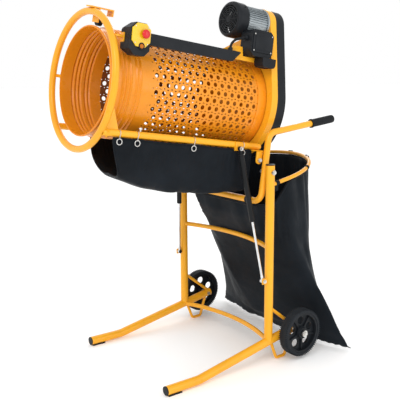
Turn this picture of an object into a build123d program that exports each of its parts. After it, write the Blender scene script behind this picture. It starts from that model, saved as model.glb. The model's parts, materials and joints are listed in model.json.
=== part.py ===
from build123d import *
from math import acos, atan2, cos, hypot, radians, sin
import os

# Motorised rotary soil sieve: a perforated drum in a tilting carrier on a tubular stand.
# Millimetres. +X runs from the drum's mouth to the handles, +Y to the far side, +Z up, floor at Z = 0.
# The stand is drawn about the uprights' plane (X = 0) and everything is moved to the row's origin at the end.

# ---- driving dimensions -------------------------------------------------------------------------
ORIGIN_X = -154.0          # middle of the overall length, from the uprights' plane

# stand
TRACK = 610.0              # upright to upright, centre to centre
FRAME_TUBE = 36.0          # uprights and floor tubes
WALL = 2.0
SOLE = 3.0                 # rubber under the floor tubes
PIVOT_Z = 808.0            # tilt axis
UPRIGHT_TOP = 836.0
FOOT_X = -515.0            # front end of the floor tubes
BEND_X = -363.0            # where the floor tube leaves the floor
TAIL_X = 153.0             # rear end of the floor tube
TAIL_Z = 121.0
AXLE_X = 133.0
AXLE_Z = 118.0
WHEEL_R = 102.0
WHEEL_WIDTH = 44.0
WHEEL_Y = 357.0
CROSS_TUBE = 20.0
CROSS_BOW = 62.0           # how far the crossbars bow to the rear
UPPER_CROSS_Z = 493.0
LOOP_ROD = 13.0
RING_TUBE = 16.0
RING_R = 300.0             # half width of the sack ring
RING_CENTRE_X = 105.0
RING_SLOPE = 11.3          # degrees, up to the rear
RING_Z = 752.0             # height of the ring's plane at X = 0

# carrier, in its own frame: s along the drum axis from the hoop to the rear, y across, v outward up
TILT = 8.0                 # drum axis below horizontal towards the rear
HOOP_X = -667.0
HOOP_Z = 1175.0
HOOP_R = 253.0
CARRIER_TUBE = 26.0
RAIL_Y = 190.0
RAIL_V = -176.0
HANDLE_S = 709.0           # handle frame's upright part
HANDLE_Y = 272.0
UBAR_V = -396.0
LUG_BOLT = (686.0, -229.0)  # s and v of the bolt that ties each rail's end to the handle frame

# guide rollers: angle from the top towards -Y, and half the bracket's width
ROLLERS = {"top": (8.0, 22.0), "near": (132.8, 14.0), "far": (-85.0, 6.0)}
ROLLER_S = 34.0
ROLLER_R = 20.0
ROLLER_W = 16.0
PIN_R = 5.0
GUSSET = ((16.0, -170.0), (66.0, -170.0), (60.0, -150.0), (42.0, -92.0), (30.0, -92.0), (16.0, -132.0))

# drum
DRUM_R = 200.0
SHEET = 2.0
MOUTH_S = 8.0
SIEVE_START = 186.0
SIEVE_END = 694.0
DRUM_END = 744.0
HOLE_D = 18.0
HOLES_ALONG = 15
HOLES_ROUND = 40
PANELS = 10
BEAD = 5.0                 # how far the mouth's rolled beads stand out
BEADS = (62.0, 78.0, 94.0, 118.0, 134.0)

# rear housing
DISH_FRONT = 738.0
DISH_BACK = 770.0
GUARD_BACK = 815.0
HOUSING_R = 237.0
MOTOR_Y = -105.0
MOTOR_V = 323.0
LOBE_R = 70.0
SHOULDER = ((-30.0, 283.0), (122.0, 240.0), (185.0, 146.0))   # far shoulder beside the motor lobe

# drive: motor to countershaft to drum, about 27 to 1
COUNTER_Y = -62.0
COUNTER_V = 182.0
MOTOR_PULLEY_R = 14.0
COUNTER_BIG_R = 80.0
COUNTER_SMALL_R = 26.5
DRUM_PULLEY_R = 150.0
BELT_A_S = 776.0           # rear stage planes, front faces of the belts
BELT_B_S = 794.0
BELT_W = 10.0
BELT_T = 4.0

GAP = 0.3                  # between touching faces of different bodies
RUN = 0.05                 # radial running clearance of shafts
SEAT = 0.1                 # gap where one welded or bolted piece meets another

# gas struts
BALL_R = 6.0
SOCKET_R = 9.0
STRUT_ROD_R = 5.0
STRUT_TUBE_R = 11.0
STRUT_LOW = (-30.0, 300.0, 359.0)      # lower pin on the upright's front, Y for the far side
STRUT_TOP = (615.0, 216.0, -190.0)     # upper stud on the rail, in s, y and v

# sack
# the sack's outline at each height: z, front x, front half width, side x, side half width, back x
SACK_LEVELS = (
    (14.0, 286.0, 60.0, 362.0, 440.0, 330.0),
    (250.0, 190.0, 150.0, 290.0, 345.0, 372.0),
    (500.0, 80.0, 190.0, 150.0, 300.0, 392.0),
    (660.0, -6.0, 215.0, 105.0, 300.0, 405.0),
    (840.0, -6.0, 215.0, 105.0, 300.0, 405.0),
)
SACK_SKIN = 6.0
SACK_HEM = 100.0           # the cavity stops above the flat bottom seam
SACK_RIM = ((-60.0, 662.0), (58.0, 662.0), (112.0, 763.0), (430.0, 827.0), (430.0, 950.0), (-60.0, 950.0))

# motor
MOTOR_R = 60.0
FIN = 6.5                  # depth of the motor's cooling fins
MOTOR_START = 618.0
COWL_START = 572.0
COWL_R = 71.5
FINS = 44
GRILLE = (14.0, 24.0, 34.0, 44.0, 54.0)    # radii of the cowl's rings of holes

# electrics
BOX_S = (606.0, 720.0)     # terminal box
BOX_Y = (-226.0, -158.0)
BOX_V = (180.0, 284.0)
CONDUIT_Y = (-208.0, -183.0)
CONDUIT_V = (146.0, 187.0)
CONDUIT_S = (123.1, 571.0)
SWITCH_S = (42.0, 123.0)
SWITCH_Y = (-254.0, -190.0)
SWITCH_V = (97.0, 209.0)
SWITCH_CUT = 20.0
PLATE_S = (47.0, 121.0)
PLATE_V = (127.0, 207.0)
STOP = (96.0, 172.0)       # s and v of the stop knob
START = (88.0, 130.0)
STOP_R = 15.0
START_R = 8.0
INLET_S = (664.0, 734.0)
INLET_Y = (-238.0, -186.0)
INLET_LOW = 142.0
CABLE_R = 5.0
CABLE = ((620.0, 254.0), (548.0, 233.0), (527.0, 212.0), (527.0, 175.0))    # s and v of its corners
CABLE_Y = -195.5

# apron
APRON_T = 4.0
APRON_TOP = -200.0
APRON_EDGE_Y = 198.0
# each section: s at the near edge, s at the far edge, then floor v, near floor y, far floor y, far bend y and v
APRON_SECTIONS = (
    (45.0, 160.0, -358.0, -186.0, 42.0, 150.0, -285.0),
    (350.0, 350.0, -402.0, -190.0, 70.0, 168.0, -330.0),
    (690.0, 690.0, -378.0, -214.0, 190.0, 214.0, -366.0),
)
HOOKS = {-1.0: (69.0, 144.0, 398.0, 645.0), 1.0: (200.0, 398.0, 645.0)}    # by side, places along the rail
EYELET_R = 9.0

SIDES = {"near": -1.0, "far": 1.0}
nodes = {}

CARRIER = Plane(
    origin=(HOOP_X, 0, HOOP_Z),
    x_dir=(cos(radians(TILT)), 0, -sin(radians(TILT))),
    z_dir=(sin(radians(TILT)), 0, cos(radians(TILT))),
)


# ---- helpers ------------------------------------------------------------------------------------
def cylinder(radius, start, end, hole=0.0):
    """A round bar or tube from one point to another."""
    a, b = Vector(*start), Vector(*end)
    plane = Plane(origin=a, z_dir=b - a)
    section = Circle(radius) - Circle(hole) if hole else Circle(radius)
    return extrude(plane * section, amount=(b - a).length)


def block(low, high):
    """An upright box between two corners."""
    size = [h - l for l, h in zip(low, high)]
    middle = [(h + l) / 2 for l, h in zip(low, high)]
    return Pos(*middle) * Box(*size)


def bent_tube(points, bend, diameter, wall=WALL):
    """A tube or, with no wall, a rod along straight runs joined by arcs of one radius."""
    if len(points) > 2:
        path = FilletPolyline(*points, radius=bend)
    else:
        path = Polyline(*points)
    start = Plane(origin=path @ 0, z_dir=path % 0)
    section = start * Circle(diameter / 2)
    if wall:
        bore = sweep(start * Circle(diameter / 2 - wall), path=path)
        return sweep(section, path=path) - bore
    return sweep(section, path=path)


def ring_about_s(radius, tube, s=0.0):
    """A hoop round the drum axis."""
    return Pos(s, 0, 0) * (Rot(0, 90, 0) * Torus(radius, tube / 2))


def turned(points):
    """A body of revolution about the drum axis, from points of (s, radius)."""
    profile = make_face(Polyline(*[(s, 0, r) for s, r in points], close=True))
    return revolve(profile, axis=Axis.X)


def both_sides(make):
    """The same piece at -Y and +Y, as one compound; make takes the side's sign."""
    return Compound(children=[make(sign) for sign in SIDES.values()])


def carried(name, shape):
    """Stores a piece drawn in the carrier's frame."""
    nodes[name] = CARRIER.location * shape


def carrier_point(s, y, v):
    return CARRIER.from_local_coords(Vector(s, y, v))


# ---- stand --------------------------------------------------------------------------------------
def build_stand():
    floor_z = FRAME_TUBE / 2 + SOLE
    slope = (TAIL_Z - floor_z) / (TAIL_X - BEND_X)
    junction_z = floor_z - BEND_X * slope
    half = TRACK / 2

    for side, sign in SIDES.items():
        y = sign * half
        nodes[f"floor_tube_{side}"] = bent_tube(
            [(FOOT_X, y, floor_z), (BEND_X, y, floor_z), (TAIL_X, y, TAIL_Z)], 150, FRAME_TUBE
        )
        tube = cylinder(FRAME_TUBE / 2, (0, y, junction_z), (0, y, UPRIGHT_TOP), FRAME_TUBE / 2 - WALL)
        cut = cylinder(FRAME_TUBE / 2 + SEAT, (BEND_X, y, floor_z), (TAIL_X, y, TAIL_Z))
        pin = cylinder(5.0, (0, y - 40, PIVOT_Z), (0, y + 40, PIVOT_Z))
        x, pin_y, z = STRUT_LOW
        y0, y1 = sorted((sign * (pin_y + 6 + GAP), sign * (pin_y + 12)))
        lug = block((x - 10, y0, z - 12), (-FRAME_TUBE / 4, y1, z + 12))
        lug -= cylinder(FRAME_TUBE / 2 - WALL / 2, (0, y, z - 20), (0, y, z + 20))
        lug -= cylinder(4.0 + SEAT, (x, y - 40, z), (x, y + 40, z))
        nodes[f"upright_{side}"] = tube - cut - pin + lug

    def foot_cap(sign):
        y = sign * half
        cap = cylinder(FRAME_TUBE / 2, (FOOT_X - 4, y, floor_z), (FOOT_X - SEAT, y, floor_z))
        plug = cylinder(FRAME_TUBE / 2 - WALL - SEAT, (FOOT_X - 1, y, floor_z), (FOOT_X + 20, y, floor_z))
        return cap + plug

    def top_cap(sign):
        y = sign * half
        cap = cylinder(FRAME_TUBE / 2 + 0.8, (0, y, UPRIGHT_TOP + SEAT), (0, y, UPRIGHT_TOP + 4))
        return cap + cylinder(FRAME_TUBE / 2 - WALL - SEAT, (0, y, UPRIGHT_TOP - 12), (0, y, UPRIGHT_TOP + 1))

    def tail_cap(sign):
        y = sign * half
        angle = atan2(TAIL_Z - floor_z, TAIL_X - BEND_X)
        start = (TAIL_X + SEAT * cos(angle), y, TAIL_Z + SEAT * sin(angle))
        end = (TAIL_X + 4 * cos(angle), y, TAIL_Z + 4 * sin(angle))
        return cylinder(FRAME_TUBE / 2, start, end)

    nodes["tube_caps"] = Compound(
        children=[make(sign) for make in (foot_cap, top_cap, tail_cap) for sign in SIDES.values()]
    )

    def sole(sign):
        y = sign * half
        pad = block((FOOT_X + 4, y - 14, 0), (FOOT_X + 64, y + 14, 2 * SOLE))
        return pad - cylinder(FRAME_TUBE / 2 + SEAT, (FOOT_X, y, floor_z), (BEND_X, y, floor_z))

    nodes["foot_soles"] = both_sides(sole)

    # bent-rod loops that stand on the floor just ahead of the wheels
    def loop_foot(sign):
        y = sign * half
        r = LOOP_ROD / 2
        rod = bent_tube(
            [(16, y, 80), (46, y, r), (94, y, r), (124, y, 98)], 14, LOOP_ROD, wall=0
        )
        return rod - cylinder(FRAME_TUBE / 2 + SEAT, (BEND_X, y, floor_z), (TAIL_X + 9, y, TAIL_Z + 9 * slope))

    nodes["loop_feet"] = both_sides(loop_foot)

    # bowed crossbars between the uprights
    for name, z in (("crossbar_lower", junction_z), ("crossbar_upper", UPPER_CROSS_Z)):
        end = half - 4
        path = ThreePointArc((0, -end, z), (CROSS_BOW, 0, z), (0, end, z))
        start = Plane(origin=path @ 0, z_dir=path % 0)
        bar = sweep(start * Circle(CROSS_TUBE / 2), path=path)
        bar -= sweep(start * Circle(CROSS_TUBE / 2 - WALL), path=path)
        for sign in SIDES.values():
            y = sign * half
            bar -= cylinder(FRAME_TUBE / 2 + SEAT, (0, y, junction_z - 40), (0, y, UPRIGHT_TOP))
            bar -= cylinder(FRAME_TUBE / 2 + SEAT, (BEND_X, y, floor_z), (TAIL_X, y, TAIL_Z))
        nodes[name] = max(bar.solids(), key=lambda solid: solid.volume)

    def brace(sign):
        y = sign * half
        bar = cylinder(7.0, (8, y, 236), (AXLE_X + 4, y, AXLE_Z + 16))
        bar -= cylinder(FRAME_TUBE / 2 + SEAT, (0, y, 100), (0, y, 400))
        bar -= cylinder(FRAME_TUBE / 2 + SEAT, (BEND_X, y, floor_z), (TAIL_X + 40, y, TAIL_Z + 40 * slope))
        return max(bar.solids(), key=lambda solid: solid.volume)

    nodes["axle_braces"] = both_sides(brace)

    # wheel axle stubs: shank through the floor tube's end, head outside the wheel
    def axle(sign):
        inner = sign * (half - FRAME_TUBE / 2 - 6)
        outer = sign * (WHEEL_Y + WHEEL_WIDTH / 2 + 3)
        shank = cylinder(8.0, (AXLE_X, inner, AXLE_Z), (AXLE_X, outer, AXLE_Z))
        head = cylinder(14.0, (AXLE_X, outer, AXLE_Z), (AXLE_X, outer + sign * 7, AXLE_Z))
        collar_end = sign * (WHEEL_Y - WHEEL_WIDTH / 2 - 1)
        collar = cylinder(12.0, (AXLE_X, sign * (half + FRAME_TUBE / 2 + SEAT), AXLE_Z), (AXLE_X, collar_end, AXLE_Z))
        return shank + head + collar

    nodes["axle_bolts"] = both_sides(axle)
    for side, sign in SIDES.items():
        y = sign * half
        hole = cylinder(8.0, (AXLE_X, y - 40, AXLE_Z), (AXLE_X, y + 40, AXLE_Z))
        nodes[f"floor_tube_{side}"] -= hole
    nodes["loop_feet"] = clear_of(nodes["loop_feet"], AXLE_X, AXLE_Z, 16.0)
    nodes["axle_braces"] = clear_of(nodes["axle_braces"], AXLE_X, AXLE_Z, 9.0)

    # lower strut pins and the tilt pivots
    def strut_pin(sign):
        x, y, z = STRUT_LOW
        ball = Pos(x, sign * y, z) * Sphere(BALL_R)
        neck = cylinder(3.0, (x, sign * y, z), (x, sign * (y + 6), z))
        shank = cylinder(4.0, (x, sign * (y + 5), z), (x, sign * (y + 13), z))
        nut = cylinder(7.0, (x, sign * (y + 12 + SEAT), z), (x, sign * (y + 17), z))
        return ball + neck + shank + nut

    nodes["strut_pins"] = both_sides(strut_pin)

    def pivot(sign):
        head_y = sign * (half + FRAME_TUBE / 2)
        shank = cylinder(5.0, (0, sign * (HANDLE_Y - 17), PIVOT_Z), (0, head_y, PIVOT_Z))
        head = cylinder(10.0, (0, head_y + sign * 0.01, PIVOT_Z), (0, head_y + sign * 6, PIVOT_Z))
        nut = cylinder(8.0, (0, sign * (HANDLE_Y - 21), PIVOT_Z), (0, sign * (HANDLE_Y - 15.5), PIVOT_Z))
        return shank + head + nut

    nodes["pivot_bolts"] = both_sides(pivot)


def clear_of(compound, x, z, radius):
    """Cuts a Y-wise passage through every solid of a compound."""
    passage = cylinder(radius + SEAT, (x, -500, z), (x, 500, z))
    return Compound(children=[max((s - passage).solids(), key=lambda p: p.volume) for s in compound.solids()])


def ring_z(x):
    return RING_Z + x * sin(radians(RING_SLOPE)) / cos(radians(RING_SLOPE))


def build_sack():
    """The sack's ring on the uprights, and the open sack below it."""
    half = TRACK / 2
    reach = RING_CENTRE_X / cos(radians(RING_SLOPE))
    plane = Plane(
        origin=(0, 0, RING_Z),
        x_dir=(cos(radians(RING_SLOPE)), 0, sin(radians(RING_SLOPE))),
        z_dir=(-sin(radians(RING_SLOPE)), 0, cos(radians(RING_SLOPE))),
    )
    start_x = 6.0
    path = plane * (
        Line((start_x, -RING_R), (reach, -RING_R))
        + ThreePointArc((reach, -RING_R), (reach + RING_R, 0), (reach, RING_R))
        + Line((reach, RING_R), (start_x, RING_R))
    )
    wire = Wire(path.edges())
    first = Plane(origin=wire @ 0, z_dir=wire % 0)
    ring = sweep(first * Circle(RING_TUBE / 2), path=wire)
    for sign in SIDES.values():
        ring -= cylinder(FRAME_TUBE / 2 + SEAT, (0, sign * half, 600), (0, sign * half, UPRIGHT_TOP))
    nodes["sack_ring"] = max(ring.solids(), key=lambda solid: solid.volume)

    # the sack: open at the top, its mouth under the ring and the rear crossbar
    outer = loft([sack_section(level) for level in SACK_LEVELS], ruled=True)
    cavity_levels = [sack_level(SACK_HEM)] + list(SACK_LEVELS[1:])
    cavity = loft([sack_section(level, SACK_SKIN) for level in cavity_levels], ruled=True)
    above = make_face(Polyline(*SACK_RIM, close=True))
    above = extrude(Plane.XZ.offset(-500) * above, amount=1000)
    nodes["sack"] = outer - cavity - above


def sack_level(z):
    """The sack's outline between the two lowest levels."""
    low, high = SACK_LEVELS[0], SACK_LEVELS[1]
    share = (z - low[0]) / (high[0] - low[0])
    return [a + (b - a) * share for a, b in zip(low, high)]


def sack_section(level, inset=0.0):
    z, front_x, front_half, side_x, side_half, back_x = level
    front_x, back_x = front_x + inset, back_x - inset
    front_half, side_half = front_half - inset / 2, side_half - inset
    outline = (
        Line((front_x, front_half), (front_x, -front_half))
        + Line((front_x, -front_half), (side_x, -side_half))
        + ThreePointArc((side_x, -side_half), (back_x, 0), (side_x, side_half))
        + Line((side_x, side_half), (front_x, front_half))
    )
    return Plane.XY.offset(z) * make_face(outline)


# ---- carrier ------------------------------------------------------------------------------------
def build_carrier_frame():
    carried("front_hoop", ring_about_s(HOOP_R, CARRIER_TUBE))
    hoop_cut = ring_about_s(HOOP_R, CARRIER_TUBE + 2 * SEAT)
    for side, sign in SIDES.items():
        y = sign * RAIL_Y
        rail = cylinder(CARRIER_TUBE / 2, (2, y, RAIL_V), (DISH_FRONT, y, RAIL_V), CARRIER_TUBE / 2 - WALL)
        rail -= hoop_cut
        carried(f"rail_{side}", max(rail.solids(), key=lambda solid: solid.volume))

    # handle frame: grip, bend, down past the pivot, U-shaped crossbar and up the other side
    knee = (HANDLE_S + 2, -116.0)
    grip = (1062.0, -24.0)
    points = [
        (grip[0], -HANDLE_Y, grip[1]),
        (knee[0], -HANDLE_Y, knee[1]),
        (HANDLE_S, -HANDLE_Y, UBAR_V),
        (HANDLE_S, HANDLE_Y, UBAR_V),
        (knee[0], HANDLE_Y, knee[1]),
        (grip[0], HANDLE_Y, grip[1]),
    ]
    frame = bent_tube(points, 42, CARRIER_TUBE)
    pivot = CARRIER.to_local_coords(Vector(0, 0, PIVOT_Z))
    bore = cylinder(5.0 + RUN, (pivot.X, -400, pivot.Z), (pivot.X, 400, pivot.Z))
    carried("handle_frame", frame - bore)

    direction = Vector(grip[0] - knee[0], 0, grip[1] - knee[1]).normalized()

    def hand_grip(sign):
        end = Vector(grip[0], sign * HANDLE_Y, grip[1])
        start = end - direction * 128
        sleeve = cylinder(CARRIER_TUBE / 2 + 4, tuple(start), tuple(end), CARRIER_TUBE / 2)
        return sleeve + cylinder(CARRIER_TUBE / 2 + 4, tuple(end), tuple(end + direction * 4))

    carried("hand_grips", both_sides(hand_grip))

    # plates that tie each rail's end to the handle frame, with one bolt each
    def lug(sign):
        inner = RAIL_Y - 10
        outer = HANDLE_Y - CARRIER_TUBE / 2 + 3
        y0, y1 = sorted((sign * inner, sign * outer))
        strap = block((688, y0, RAIL_V - CARRIER_TUBE / 2 - 5), (728, y1, RAIL_V - CARRIER_TUBE / 2 - SEAT))
        y0, y1 = sorted((sign * (outer - 8), sign * (outer - 3)))
        bolt_s, bolt_v = LUG_BOLT
        ear = block((bolt_s - 15, y0, bolt_v), (bolt_s + 15, y1, RAIL_V - CARRIER_TUBE / 2 - 5))
        ear += cylinder(15.0, (bolt_s, y0, bolt_v), (bolt_s, y1, bolt_v))
        plate = strap + ear
        plate -= cylinder(CARRIER_TUBE / 2 + 2, (HANDLE_S, sign * HANDLE_Y, -300), (HANDLE_S, sign * HANDLE_Y, -100))
        return max(plate.solids(), key=lambda solid: solid.volume)

    carried("lug_plates", both_sides(lug))

    bolts = []
    for sign in SIDES.values():
        face = sign * (HANDLE_Y - CARRIER_TUBE / 2)
        bolt_s, bolt_v = LUG_BOLT
        bolts.append(cylinder(9.0, (bolt_s, face + sign * SEAT, bolt_v), (bolt_s, face + sign * 6, bolt_v)))
        stem = cylinder(4.0, (157, sign * RAIL_Y, RAIL_V + CARRIER_TUBE / 2 + SEAT), (157, sign * RAIL_Y, RAIL_V + 26))
        bolts.append(stem + Pos(157, sign * RAIL_Y, RAIL_V + 26) * Sphere(9.0, arc_size1=0))
    carried("carrier_bolts", Compound(children=bolts))


def build_rollers():
    """Guide rollers round the drum's mouth, each on a pin and a bracket from the hoop."""
    reach = DRUM_R + BEAD + ROLLER_R + GAP
    outer = HOOP_R + CARRIER_TUBE / 2
    hoop = ring_about_s(HOOP_R, CARRIER_TUBE + 2 * SEAT)
    brackets = []
    for name, (angle, half_width) in ROLLERS.items():
        turn = Rot(angle, 0, 0)
        front, back = ROLLER_S - ROLLER_W / 2, ROLLER_S + ROLLER_W / 2
        wheel = cylinder(ROLLER_R, (front, 0, reach), (back, 0, reach), PIN_R + RUN)
        carried(f"roller_{name}", turn * wheel)
        bracket = cylinder(PIN_R, (front - 8, 0, reach), (back + 5, 0, reach))
        bracket += block((front - 8, -half_width, reach - 9), (front - 3, half_width, outer + 5))
        if name == "top":
            bracket += block((-14, -half_width, outer), (78, half_width, outer + 5))
            bracket += block((74, -half_width, outer - 20), (78, half_width, outer + 5))
        else:
            bracket += block((-3, -half_width, outer - 22), (front - 3, half_width, outer - 2))
        piece = turn * max((bracket - hoop).solids(), key=lambda solid: solid.volume)
        for sign in SIDES.values():
            rail = cylinder(CARRIER_TUBE / 2 + SEAT, (0, sign * RAIL_Y, RAIL_V), (DISH_FRONT, sign * RAIL_Y, RAIL_V))
            piece -= rail
        brackets.append(max(piece.solids(), key=lambda solid: solid.volume))
    gusset = Plane.XZ.offset(RAIL_Y - 2) * make_face(Polyline(*GUSSET, close=True))
    gusset = extrude(gusset, amount=5)
    gusset -= cylinder(CARRIER_TUBE / 2 + SEAT, (0, -RAIL_Y, RAIL_V), (DISH_FRONT, -RAIL_Y, RAIL_V))
    gusset = max((gusset - hoop).solids(), key=lambda solid: solid.volume)
    carried("roller_brackets", Compound(children=[*brackets, gusset]))


# ---- drum ---------------------------------------------------------------------------------------
def build_drum():
    outer, inner = DRUM_R, DRUM_R - SHEET
    lip_s = ROLLER_S + ROLLER_W / 2 + 4
    outline = [(MOUTH_S, outer + BEAD), (lip_s, outer + BEAD), (lip_s, outer)]
    inline = [(MOUTH_S, inner)]
    for s in BEADS:
        outline += [(s - 5, outer), (s, outer + BEAD), (s + 5, outer)]
        inline += [(s - 5, inner), (s, inner + BEAD), (s + 5, inner)]
    outline.append((SIEVE_START, outer))
    inline.append((SIEVE_START, inner))
    carried("drum_mouth", turned(outline + inline[::-1]))

    step = 360.0 / PANELS
    rows = HOLES_ROUND // PANELS
    pitch = (SIEVE_END - SIEVE_START) / HOLES_ALONG
    sector = turned(
        [(SIEVE_START, outer), (SIEVE_END, outer), (SIEVE_END, inner), (SIEVE_START, inner)]
    )
    wedge_half = radians(step / 2) - 0.15 / DRUM_R
    reach = 1.2 * DRUM_R
    wedge = Plane.YZ.offset(SIEVE_START - 1) * make_face(
        Polyline(
            (0, 0),
            (reach * sin(-wedge_half), reach * cos(wedge_half)),
            (reach * sin(wedge_half), reach * cos(wedge_half)),
            close=True,
        )
    )
    panel = sector & extrude(wedge, amount=SIEVE_END - SIEVE_START + 2)
    drills = []
    for row in range(rows):
        angle = (row - (rows - 1) / 2) * 360.0 / HOLES_ROUND
        count = HOLES_ALONG if row % 2 == 0 else HOLES_ALONG - 1
        first = SIEVE_START + pitch / 2 + (pitch / 2 if row % 2 else 0)
        for i in range(count):
            drill = cylinder(HOLE_D / 2, (first + i * pitch, 0, DRUM_R - 12), (first + i * pitch, 0, DRUM_R + 12))
            drills.append(Rot(angle, 0, 0) * drill)
    panel -= drills
    panels = [Rot(i * step, 0, 0) * panel for i in range(PANELS)]
    carried("sieve_sheet", Compound(children=[p.solid() for p in panels]))

    carried("drum_rear_band", turned(
        [(SIEVE_END, outer + 3), (DRUM_END, outer + 3), (DRUM_END, inner), (SIEVE_END, inner)]
    ))
    disc = turned([(DRUM_END, 0), (DRUM_END, outer + 3), (DRUM_END + 3, outer + 3), (DRUM_END + 3, 0)])
    hub = cylinder(32.0, (DRUM_END - 14, 0, 0), (DRUM_END, 0, 0))
    shaft = cylinder(15.0, (DRUM_END + 3, 0, 0), (GUARD_BACK - 6, 0, 0))
    carried("drum_back", disc + hub + shaft)
    pulley = cylinder(DRUM_PULLEY_R, (BELT_B_S - 1, 0, 0), (BELT_B_S + BELT_W + 1, 0, 0), 15.0)
    carried("drum_pulley", pulley)


# ---- rear housing and drive ---------------------------------------------------------------------
def housing_outline(grow=0.0):
    """The pear outline: a round lower part, a motor lobe and a far shoulder, in y and v."""
    big = HOUSING_R + grow
    lobe = LOBE_R + grow
    distance = hypot(MOTOR_Y, MOTOR_V)
    lean = atan2(-MOTOR_Y, MOTOR_V)
    normal = lean + acos((big - lobe) / distance)
    near_low = (-big * sin(normal), big * cos(normal))
    near_high = (MOTOR_Y - lobe * sin(normal), MOTOR_V + lobe * cos(normal))
    shoulder = [(y + grow, v + grow) for y, v in SHOULDER]
    neck = make_face(
        Polyline(
            (0, 0),
            near_low,
            near_high,
            (MOTOR_Y, MOTOR_V),
            (MOTOR_Y + lobe, MOTOR_V),
            *shoulder,
            close=True,
        )
    )
    return Circle(big) + Pos(MOTOR_Y, MOTOR_V) * Circle(lobe) + neck


def housing_prism(start, end, grow=0.0):
    return extrude(Plane.YZ.offset(start) * housing_outline(grow), amount=end - start)


def build_housing():
    sheet = 2.0
    dish = housing_prism(DISH_FRONT, DISH_BACK) - housing_prism(DISH_FRONT + sheet, DISH_BACK - sheet, -sheet)
    dish -= cylinder(DRUM_R + 6, (DISH_FRONT - 5, 0, 0), (DISH_FRONT + 5, 0, 0))
    dish -= cylinder(24.0, (DISH_BACK - 5, 0, 0), (DISH_BACK + 5, 0, 0))
    dish -= cylinder(13.0, (DISH_BACK - 5, COUNTER_Y, COUNTER_V), (DISH_BACK + 5, COUNTER_Y, COUNTER_V))
    dish -= cylinder(9.0, (DISH_FRONT - 5, MOTOR_Y, MOTOR_V), (DISH_BACK + 5, MOTOR_Y, MOTOR_V))
    carried("rear_dish", dish)
    guard = housing_prism(DISH_BACK, GUARD_BACK) - housing_prism(DISH_BACK, GUARD_BACK - 2.5, -3.0)
    carried("belt_guard", guard)

    back_plate = DISH_BACK - sheet
    main = cylinder(38.0, (DRUM_END + 4, 0, 0), (back_plate, 0, 0), 15.0 + RUN)
    nose = cylinder(23.9, (back_plate, 0, 0), (DISH_BACK, 0, 0), 15.0 + RUN)
    second = cylinder(22.0, (DRUM_END + 8, COUNTER_Y, COUNTER_V), (back_plate, COUNTER_Y, COUNTER_V), 8.0 + RUN)
    second_nose = cylinder(12.9, (back_plate, COUNTER_Y, COUNTER_V), (DISH_BACK, COUNTER_Y, COUNTER_V), 8.0 + RUN)
    carried("shaft_bearings", Compound(children=[main + nose, second + second_nose]))

    shaft = cylinder(8.0, (DRUM_END + 10, COUNTER_Y, COUNTER_V), (GUARD_BACK - 6, COUNTER_Y, COUNTER_V))
    big = cylinder(COUNTER_BIG_R, (BELT_A_S - 1, COUNTER_Y, COUNTER_V), (BELT_A_S + BELT_W + 1, COUNTER_Y, COUNTER_V))
    small = cylinder(COUNTER_SMALL_R, (BELT_B_S - 1, COUNTER_Y, COUNTER_V), (BELT_B_S + BELT_W + 1, COUNTER_Y, COUNTER_V))
    carried("countershaft", shaft + big + small)

    first = belt(BELT_A_S, (MOTOR_Y, MOTOR_V, MOTOR_PULLEY_R), (COUNTER_Y, COUNTER_V, COUNTER_BIG_R))
    second_belt = belt(BELT_B_S, (COUNTER_Y, COUNTER_V, COUNTER_SMALL_R), (0, 0, DRUM_PULLEY_R))
    carried("drive_belts", Compound(children=[first, second_belt]))


def belt(s, small, large):
    """A flat belt loop round two pulleys, each given as y, v and radius."""
    def loop(extra):
        (y0, v0, r0), (y1, v1, r1) = [(y, v, r + extra) for y, v, r in (small, large)]
        distance = hypot(y1 - y0, v1 - v0)
        heading = atan2(v1 - v0, y1 - y0)
        spread = acos((r0 - r1) / distance)
        corners = []
        for turn in (heading + spread, heading - spread):
            corners.append((y0 + r0 * cos(turn), v0 + r0 * sin(turn)))
            corners.append((y1 + r1 * cos(turn), v1 + r1 * sin(turn)))
        a, b, d, c = corners
        straight = make_face(Polyline((y0, v0), a, b, (y1, v1), c, d, close=True))
        return Pos(y0, v0) * Circle(r0) + Pos(y1, v1) * Circle(r1) + straight

    ribbon = loop(GAP + BELT_T) - loop(GAP)
    return extrude(Plane.YZ.offset(s) * ribbon, amount=BELT_W)


# ---- motor --------------------------------------------------------------------------------------
def at_motor(shape):
    return Pos(0, MOTOR_Y, MOTOR_V) * shape


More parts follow.
